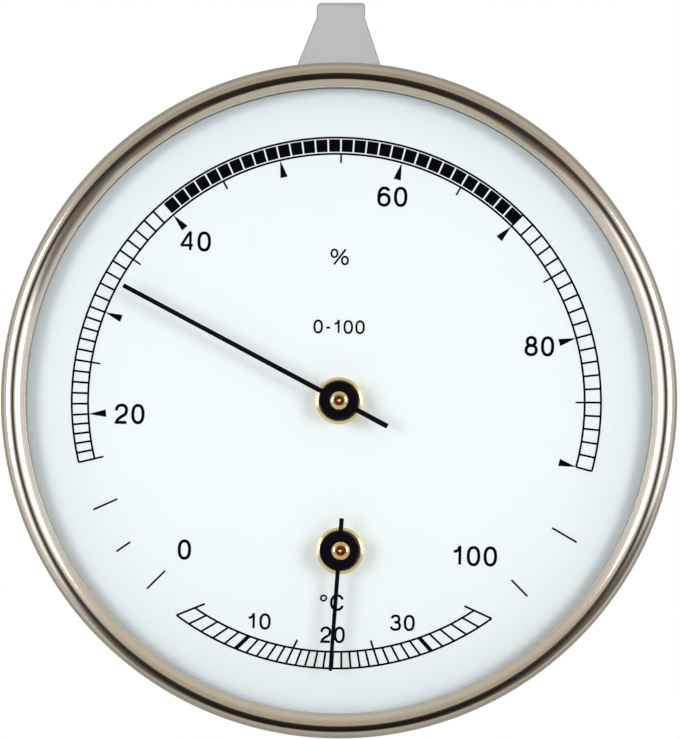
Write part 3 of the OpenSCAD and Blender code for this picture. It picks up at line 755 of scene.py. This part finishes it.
# Each numeral with its middle, width and height
NUMERALS = [
    ("40", -22.0, 24.48, 4.65, 3.1), ("20", -32.13, -2.01, 4.56, 3.12), ("60", 8.18, 31.34, 4.62, 3.12),
    ("80", 30.74, 8.38, 4.54, 3.12), ("100", 20.8, -23.83, 6.88, 3.1), ("0", -23.73, -22.82, 2.06, 3.12),
    ("%", 0.09, 22.09, 2.85, 2.55), ("10", -12.28, -33.83, 3.58, 2.52), ("20", -1.0, -35.88, 3.76, 2.54),
    ("30", 9.71, -34.05, 3.8, 2.52), ("C", -0.34, -30.95, 2.2, 2.58), ("0-100", 0.0, 11.35, 7.9, 2.15),
]
# The degree sign's middle and radius
DEGREE_SIGN = (-2.38, -30.25, 0.42)


def bow(cx, cy, rx, ry, start, end, power=2.3, steps=28):
    """Points of a squarish oval, angles counter-clockwise from the right."""
    points = []
    for c, s in arc((0, 0), 1, start, end, steps):
        points.append((cx + rx * math.copysign(abs(c) ** (2 / power), c),
                       cy + ry * math.copysign(abs(s) ** (2 / power), s)))
    return points


# Centre lines of each sign in a box from 0 to 1, and its width against a plain digit's
SIGNS = {
    "0": (1.0, [bow(0.5, 0.5, 0.5, 0.5, 0, 360, 2.35, 56)]),
    "1": (0.66, [[(1, 0), (1, 1), (0.93, 1), (0.72, 0.84), (0.4, 0.765), (0, 0.745)]]),
    "2": (1.0, [bow(0.5, 0.71, 0.49, 0.29, 183, 12) + bow(0.45, 0.66, 0.52, 0.30, 0, -42, 2.0, 8)
                + [(0.42, 0.31), (0.13, 0.16), (0.02, 0.0), (1.0, 0.0)]]),
    "3": (1.0, [bow(0.49, 0.765, 0.42, 0.235, 172, -88) + [(0.36, 0.53)],
                [(0.36, 0.53)] + bow(0.49, 0.268, 0.51, 0.268, 88, -172)]),
    "4": (1.0, [[(0.77, 0), (0.77, 1), (0.70, 1), (0, 0.32), (0, 0.27), (1, 0.27)]]),
    "6": (1.0, [bow(0.5, 0.315, 0.5, 0.315, 0, 360, 2.2, 48),
                bow(0.52, 0.5, 0.52, 0.5, 196, 90, 2.2) + bow(0.52, 0.76, 0.44, 0.24, 88, 14, 2.2, 14)]),
    "8": (1.0, [bow(0.5, 0.765, 0.4, 0.235, 0, 360, 2.2, 48), bow(0.5, 0.268, 0.5, 0.268, 0, 360, 2.2, 48)]),
    "%": (1.0, [bow(0.18, 0.74, 0.18, 0.26, 0, 360, 2.2, 36), bow(0.82, 0.26, 0.18, 0.26, 0, 360, 2.2, 36),
                [(0.16, -0.03), (0.86, 1.03)]]),
    "C": (1.0, [bow(0.52, 0.5, 0.5, 0.5, 24, 337, 2.15, 48)]),
    "-": (0.62, [[(0, 0.42), (1, 0.42)]]),
}
# Stroke width against a sign's height, finer in some signs, and the gap after a sign against a digit
STROKE = 0.151
FINE_STROKE = {"1": 0.93, "4": 0.86, "%": 0.8}
GAP = 0.235
GAP_AFTER_1 = 0.4


def along(anchors, value):
    """An angle on a scale, straight between its numbered marks."""
    marks = sorted(anchors)
    low = max([m for m in marks if m <= value] or marks[:1])
    high = min([m for m in marks if m > value] or marks[-1:])
    if high <= low:
        return anchors[low]
    return anchors[low] + (anchors[high] - anchors[low]) * (value - low) / (high - low)


class Print:
    """Flat black shapes that lie on the dial."""

    def __init__(self):
        self.bm = bmesh.new()

    def face(self, points):
        self.bm.faces.new([self.bm.verts.new(world(x, y, DIAL_Z + PRINT_LIFT)) for x, y in points])

    def line(self, a, b, width):
        dx, dy = b[0] - a[0], b[1] - a[1]
        k = width / 2 / math.hypot(dx, dy)
        off = (-dy * k, dx * k)
        self.face([(a[0] + off[0], a[1] + off[1]), (b[0] + off[0], b[1] + off[1]),
                   (b[0] - off[0], b[1] - off[1]), (a[0] - off[0], a[1] - off[1])])

    def tick(self, angle, r_in, r_out, width):
        """A line on a ray from the print's centre."""
        self.line(polar(PRINT_CENTRE, r_in, angle), polar(PRINT_CENTRE, r_out, angle), width)

    def band(self, centre, r_in, r_out, start, end, step=0.75):
        """A piece of a ring between two angles clockwise from the top."""
        count = max(1, round(abs(end - start) / step))
        for i in range(count):
            a = start + (end - start) * i / count
            b = start + (end - start) * (i + 1) / count
            self.face([polar(centre, r_in, a), polar(centre, r_out, a), polar(centre, r_out, b),
                       polar(centre, r_in, b)])

    def circle(self, radius, start, end):
        """A drawn line about the print's centre."""
        self.band(PRINT_CENTRE, radius - LINE / 2, radius + LINE / 2, start, end)

    def ribbon(self, points, width):
        """A line of even width along points, with mitred corners."""
        mitre = 0.3
        closed = math.dist(points[0], points[-1]) < SAME
        points = [p for i, p in enumerate(points) if i == 0 or math.dist(p, points[i - 1]) > SAME]
        if closed:
            points = points[:-1]
        count = len(points)
        sides = []
        for i, (x, y) in enumerate(points):
            before = points[i - 1] if i or closed else None
            after = points[(i + 1) % count] if i < count - 1 or closed else None
            normals = []
            for a, b in ((before, (x, y)), ((x, y), after)):
                if a and b:
                    long = math.dist(a, b)
                    normals.append(((a[1] - b[1]) / long, (b[0] - a[0]) / long))
            nx = sum(n[0] for n in normals) / len(normals)
            ny = sum(n[1] for n in normals) / len(normals)
            k = width / 2 / max(nx * nx + ny * ny, mitre)
            sides.append(((x + nx * k, y + ny * k), (x - nx * k, y - ny * k)))
        for i in range(count if closed else count - 1):
            a, b = sides[i], sides[(i + 1) % count]
            self.face([a[0], b[0], b[1], a[1]])

    def glyphs(self, words, x, y, width, height):
        """Plain upright numerals built from strokes of even width, fitted to a box."""
        wide = [SIGNS[sign][0] for sign in words]
        gaps = [GAP_AFTER_1 if sign == "1" else GAP for sign in words[:-1]] + [0.0]
        unit = width / (sum(wide) + sum(gaps))
        turn = math.radians(-PRINT_TURN)
        left = -width / 2
        for sign, part, gap in zip(words, wide, gaps):
            stroke = STROKE * height * FINE_STROKE.get(sign, 1.0)
            for line in SIGNS[sign][1]:
                placed = []
                for u, v in line:
                    px = left + stroke / 2 + u * (part * unit - stroke)
                    py = -height / 2 + stroke / 2 + v * (height - stroke)
                    placed.append((x + px * math.cos(turn) - py * math.sin(turn),
                                   y + px * math.sin(turn) + py * math.cos(turn)))
                self.ribbon(placed, stroke)
            left += (part + gap) * unit

    def finish(self, name):
        for face in self.bm.faces:
            face.normal_update()
            if face.normal.y > 0:
                face.normal_flip()
        mesh = bpy.data.meshes.new(name)
        self.bm.to_mesh(mesh)
        self.bm.free()
        add_object(name, mesh, "case", "hand_lacquer", INK)


def print_humidity():
    """Upper scale: circles, squares in the middle, wedges at the tens and short marks at the fives."""
    art = Print()
    for radius in (HUMID_IN, HUMID_OUT):
        art.circle(radius, along(HUMID_ANGLES, HUMID_FROM), along(HUMID_ANGLES, HUMID_TO))
    for percent in [*range(HUMID_FROM, SQUARES_FROM), *range(SQUARES_TO, HUMID_TO + 1)]:
        art.tick(along(HUMID_ANGLES, percent), HUMID_IN, HUMID_OUT, LINE)
    for percent in range(SQUARES_FROM, SQUARES_TO):
        low = percent + (SQUARE_START if percent > SQUARES_FROM else 0.0)
        high = percent + (SQUARE_END if percent < SQUARES_TO - 1 else 1.0)
        art.band(PRINT_CENTRE, SQUARE_IN, SQUARE_OUT, along(HUMID_ANGLES, low), along(HUMID_ANGLES, high),
                 step=0.4)
    base = HUMID_IN - WEDGE_LONG
    half = math.degrees(WEDGE_W / 2 / base)
    for percent in range(HUMID_FROM + 5, HUMID_TO + 1, 10):
        angle = along(HUMID_ANGLES, percent)
        art.face([polar(PRINT_CENTRE, HUMID_IN, angle), polar(PRINT_CENTRE, base, angle - half),
                  polar(PRINT_CENTRE, base, angle + half)])
    for percent in range(HUMID_FROM, HUMID_TO, 10):
        art.tick(along(HUMID_ANGLES, percent), HUMID_IN, HUMID_IN - HALF_MARK, LIGHT_LINE)
    for angle, r_in, r_out in FREE_TICKS:
        art.tick(angle, r_in, r_out, FREE_LINE)
    art.finish("print_humidity_scale")


def from_thermo_print(angle, radius):
    """Where a ray from the lower scale's centre meets a circle about the print's centre."""
    direction = (math.sin(math.radians(angle)), math.cos(math.radians(angle)))
    start = (THERMO_PRINT[0] - PRINT_CENTRE[0], THERMO_PRINT[1] - PRINT_CENTRE[1])
    b = start[0] * direction[0] + start[1] * direction[1]
    c = start[0] ** 2 + start[1] ** 2 - radius ** 2
    t = -b + math.sqrt(b * b - c)
    return (THERMO_PRINT[0] + t * direction[0], THERMO_PRINT[1] + t * direction[1])


def clock_of(point):
    """A point's angle about the print's centre."""
    return math.degrees(math.atan2(point[0] - PRINT_CENTRE[0], point[1] - PRINT_CENTRE[1])) % 360


def print_temperature():
    """Lower scale: circles about the print's centre, marks on rays from its own, and the degree sign."""
    art = Print()
    for radius in (TEMP_IN, TEMP_OUT):
        ends = [clock_of(from_thermo_print(TEMP_ANGLES[degree], radius)) for degree in (35, 5)]
        art.circle(radius, *ends)
    for degree in range(5, 36):
        angle = along(TEMP_ANGLES, degree)
        inner = TEMP_MARK_IN if degree in TEMP_LONG else TEMP_IN
        width = HEAVY_LINE if degree in TEMP_HEAVY else LINE
        art.line(from_thermo_print(angle, inner), from_thermo_print(angle, TEMP_OUT), width)
    x, y, radius = DEGREE_SIGN
    art.band((x, y), radius - LIGHT_LINE / 2, radius + LIGHT_LINE / 2, 0, 360, step=12)
    art.finish("print_temperature_scale")


def print_numerals():
    art = Print()
    for words, x, y, width, height in NUMERALS:
        art.glyphs(words, x, y, width, height)
    art.finish("print_numerals")


print_humidity()
print_temperature()
print_numerals()


# Camera and light

# Camera: metres from the ring's front, degrees below the axis, the aim's depth, and the sensor's width
VIEW_DISTANCE = 1.0
VIEW_BELOW = 1.2
VIEW_Z = CREST_Z - 1.7
SENSOR = 36

# Lamps: metres from the dial, degrees beside the camera and above it, and the aim's depth
LAMP_DISTANCE = 0.8
LAMP_BESIDE = 46
LAMP_ABOVE = 7
LAMP_Z = 25
LAMP_SIZE = (0.28, 0.40)
LAMP_WATTS = 2.5
LAMP_COLOR = (0.97, 1.0, 1.10)

# What the metal mirrors
ROOM_LOW = (0.62, 0.59, 0.49)
ROOM_HIGH = (0.69, 0.635, 0.545)
ROOM_NEAR = (0.53, 0.46, 0.36)
ROOM_SIDE = (0.85, 0.80, 0.77)
ROOM_BACK = (0.47, 0.46, 0.41)
PANEL = (1.56, 1.56, 1.60)
DARK_BODY = (0.015, 0.012, 0.010)
DARK_WIDE = (0.19, 0.165, 0.14)

# Where each of these lies, in degrees beside straight ahead and above the horizon: from none to full, and in
# a span of four also from full back to none
HIGH_ABOVE = (-10, 60)
NEAR_BESIDE = (40, 20)
NEAR_ABOVE = (0, 5, 30, 70)
SIDE_BESIDE = (40, 60, 85, 110)
SIDE_ABOVE = (-60, -25, 20, 45)
PANEL_BESIDE = (11, 33, 40, 72)
PANEL_BOTTOM = (-27, -18)
PANEL_TOP_LEFT = (19, 8)
PANEL_TOP_RIGHT = (27, 8)
DESK_BESIDE = (84, 60)
DESK_BOTTOM = (-46, -34)
DESK_TOP = (-2.5, -9.5)
DESK_SLOPE = 0.13
BODY_BESIDE = (14, 6)
BODY_ABOVE = (-54, -47, 4, 10)
BODY_SPREAD = 1.1
WIDE_BESIDE = (14, 38)
# The same for the sides of straight ahead, and for the back of the room, against a direction's length
SIDES = (-0.02, 0.02)
BACK = (0.25, -0.15)

# Floor: half its width and its height, in metres
FLOOR_SIZE = 6.0
FLOOR_Z = -0.40


def make_camera():
    """The photograph's view: from the front, 1 m off, slightly below the axis."""
    tilt = math.radians(VIEW_BELOW)
    frame_w = PHOTO_W * MM_PER_PX * MM
    right = PHOTO_W / 2 - PX_CENTRE[0]
    up = PX_CENTRE[1] - PHOTO_H / 2
    target = Vector(world(right * MM_PER_PX, up * MM_PER_PX, VIEW_Z))
    back = Vector((0, -math.cos(tilt), -math.sin(tilt)))
    data = bpy.data.cameras.new("front_camera")
    data.sensor_fit = "HORIZONTAL"
    data.sensor_width = SENSOR
    data.lens = SENSOR * VIEW_DISTANCE / frame_w
    data.clip_start = 0.05
    camera = bpy.data.objects.new("front_camera", data)
    camera.location = target + back * VIEW_DISTANCE
    camera.rotation_euler = (-back).to_track_quat("-Z", "Y").to_euler()
    bpy.context.scene.collection.objects.link(camera)
    bpy.context.scene.camera = camera


def add_softbox(name, side):
    """An area light beside the camera and a little above it, aimed at the dial."""
    beside = math.radians(LAMP_BESIDE)
    above = math.radians(LAMP_ABOVE)
    data = bpy.data.lights.new(name, "AREA")
    data.shape = "RECTANGLE"
    data.size, data.size_y = LAMP_SIZE
    data.energy = LAMP_WATTS
    data.color = LAMP_COLOR
    light = bpy.data.objects.new(name, data)
    front = Vector(world(0, 0, LAMP_Z))
    level = Vector((side * math.sin(beside), -math.cos(beside), 0))
    light.location = front + LAMP_DISTANCE * (level * math.cos(above) + Vector((0, 0, math.sin(above))))
    light.rotation_euler = (front - light.location).to_track_quat("-Z", "Y").to_euler()
    light.visible_camera = False
    bpy.context.scene.collection.objects.link(light)


class Room(NodeTree):
    """The world's nodes: masks over directions, and colours laid over each other."""

    def rise(self, value, low, high):
        """0 below low, 1 above high; 1 to 0 when low is the larger."""
        made = self.node("ShaderNodeMapRange", interpolation_type="SMOOTHSTEP")
        self.link(value, made.inputs["Value"])
        made.inputs["From Min"].default_value = min(low, high)
        made.inputs["From Max"].default_value = max(low, high)
        made.inputs["To Min"].default_value = 0.0 if low < high else 1.0
        made.inputs["To Max"].default_value = 1.0 if low < high else 0.0
        return made.outputs["Result"]

    def both(self, first, *rest):
        """Where every one of the masks is 1."""
        return self.math("MULTIPLY", first, self.both(*rest)) if rest else first

    def within(self, value, low_out, low_in, high_in, high_out):
        """1 from low_in to high_in, and 0 outside low_out and high_out."""
        return self.both(self.rise(value, low_out, low_in), self.rise(value, high_out, high_in))

    def over(self, below, color, where):
        """A colour laid over another where a mask is 1."""
        made = self.node("ShaderNodeMix", data_type="RGBA")
        self.link(where, made.inputs["Factor"])
        self.feed(made.inputs["A"], below)
        self.feed(made.inputs["B"], color)
        return made.outputs["Result"]

    def colors(self):
        """A beige room, two pale panels, a dark body before the instrument and a dark desk on the right."""
        split = self.node("ShaderNodeSeparateXYZ")
        self.link(self.node("ShaderNodeTexCoord").outputs["Generated"], split.inputs[0])
        x, y, z = split.outputs
        degrees = 180 / math.pi
        front = self.math("MULTIPLY", y, -1.0)
        azimuth = self.math("MULTIPLY", self.math("ARCTAN2", self.math("ABSOLUTE", x), front), degrees)
        elevation = self.math("MULTIPLY", self.math("ARCSINE", z), degrees)
        right = self.rise(x, *SIDES)

        color = self.over(ROOM_LOW, ROOM_HIGH, self.rise(elevation, *HIGH_ABOVE))
        near = self.both(self.rise(azimuth, *NEAR_BESIDE), self.within(elevation, *NEAR_ABOVE))
        color = self.over(color, ROOM_NEAR, near)
        color = self.over(color, ROOM_BACK, self.rise(front, *BACK))
        side = self.both(self.within(azimuth, *SIDE_BESIDE), self.within(elevation, *SIDE_ABOVE))
        color = self.over(color, ROOM_SIDE, side)

        left = self.math("SUBTRACT", 1.0, right)
        upper = self.math("ADD", self.both(right, self.rise(elevation, *PANEL_TOP_RIGHT)),
                          self.both(left, self.rise(elevation, *PANEL_TOP_LEFT)))
        panel = self.both(self.within(azimuth, *PANEL_BESIDE), self.rise(elevation, *PANEL_BOTTOM), upper)
        color = self.over(color, PANEL, panel)

        sunk = self.math("ADD", elevation, self.math("MULTIPLY", azimuth, DESK_SLOPE))
        desk = self.both(self.both(right, self.rise(azimuth, *DESK_BESIDE)),
                         self.rise(elevation, *DESK_BOTTOM), self.rise(sunk, *DESK_TOP))
        color = self.over(color, DARK_WIDE, desk)

        lower = self.math("MULTIPLY", self.math("MINIMUM", elevation, 0.0), BODY_SPREAD)
        reach = self.math("ADD", azimuth, lower)
        body = self.both(self.rise(reach, *BODY_BESIDE), self.within(elevation, *BODY_ABOVE))
        tone = self.over(DARK_BODY, DARK_WIDE, self.rise(azimuth, *WIDE_BESIDE))
        return self.over(color, tone, body)


def make_room():
    """White for the camera, and the coloured room for reflections."""
    studio = bpy.data.worlds.new("studio")
    studio.use_nodes = True
    studio.node_tree.nodes.clear()
    bpy.context.scene.world = studio
    room = Room(studio.node_tree)
    mirrored = room.node("ShaderNodeBackground")
    room.link(room.colors(), mirrored.inputs["Color"])
    behind = room.node("ShaderNodeBackground")
    behind.inputs["Color"].default_value = (1, 1, 1, 1)
    chosen = room.node("ShaderNodeMixShader")
    room.link(room.node("ShaderNodeLightPath").outputs["Is Camera Ray"], chosen.inputs[0])
    room.link(mirrored.outputs[0], chosen.inputs[1])
    room.link(behind.outputs[0], chosen.inputs[2])
    room.link(chosen.outputs[0], room.node("ShaderNodeOutputWorld").inputs["Surface"])


def make_floor():
    """A plain pale floor below the hanging instrument."""
    bm = bmesh.new()
    bmesh.ops.create_grid(bm, x_segments=4, y_segments=4, size=FLOOR_SIZE)
    mesh = bpy.data.meshes.new("floor")
    bm.to_mesh(mesh)
    bm.free()
    floor = bpy.data.objects.new("floor", mesh)
    floor.location = (0, 0, FLOOR_Z)
    mesh.materials.append(matt_coat("floor_pale", (0.86, 0.86, 0.85), 0.8, 30.0, 0.1, spread=0.01))
    bpy.context.scene.collection.objects.link(floor)
    floor.visible_glossy = False


make_camera()
add_softbox("softbox_left", -1)
add_softbox("softbox_right", 1)
make_room()
make_floor()
bpy.context.scene.view_settings.view_transform = "Standard"
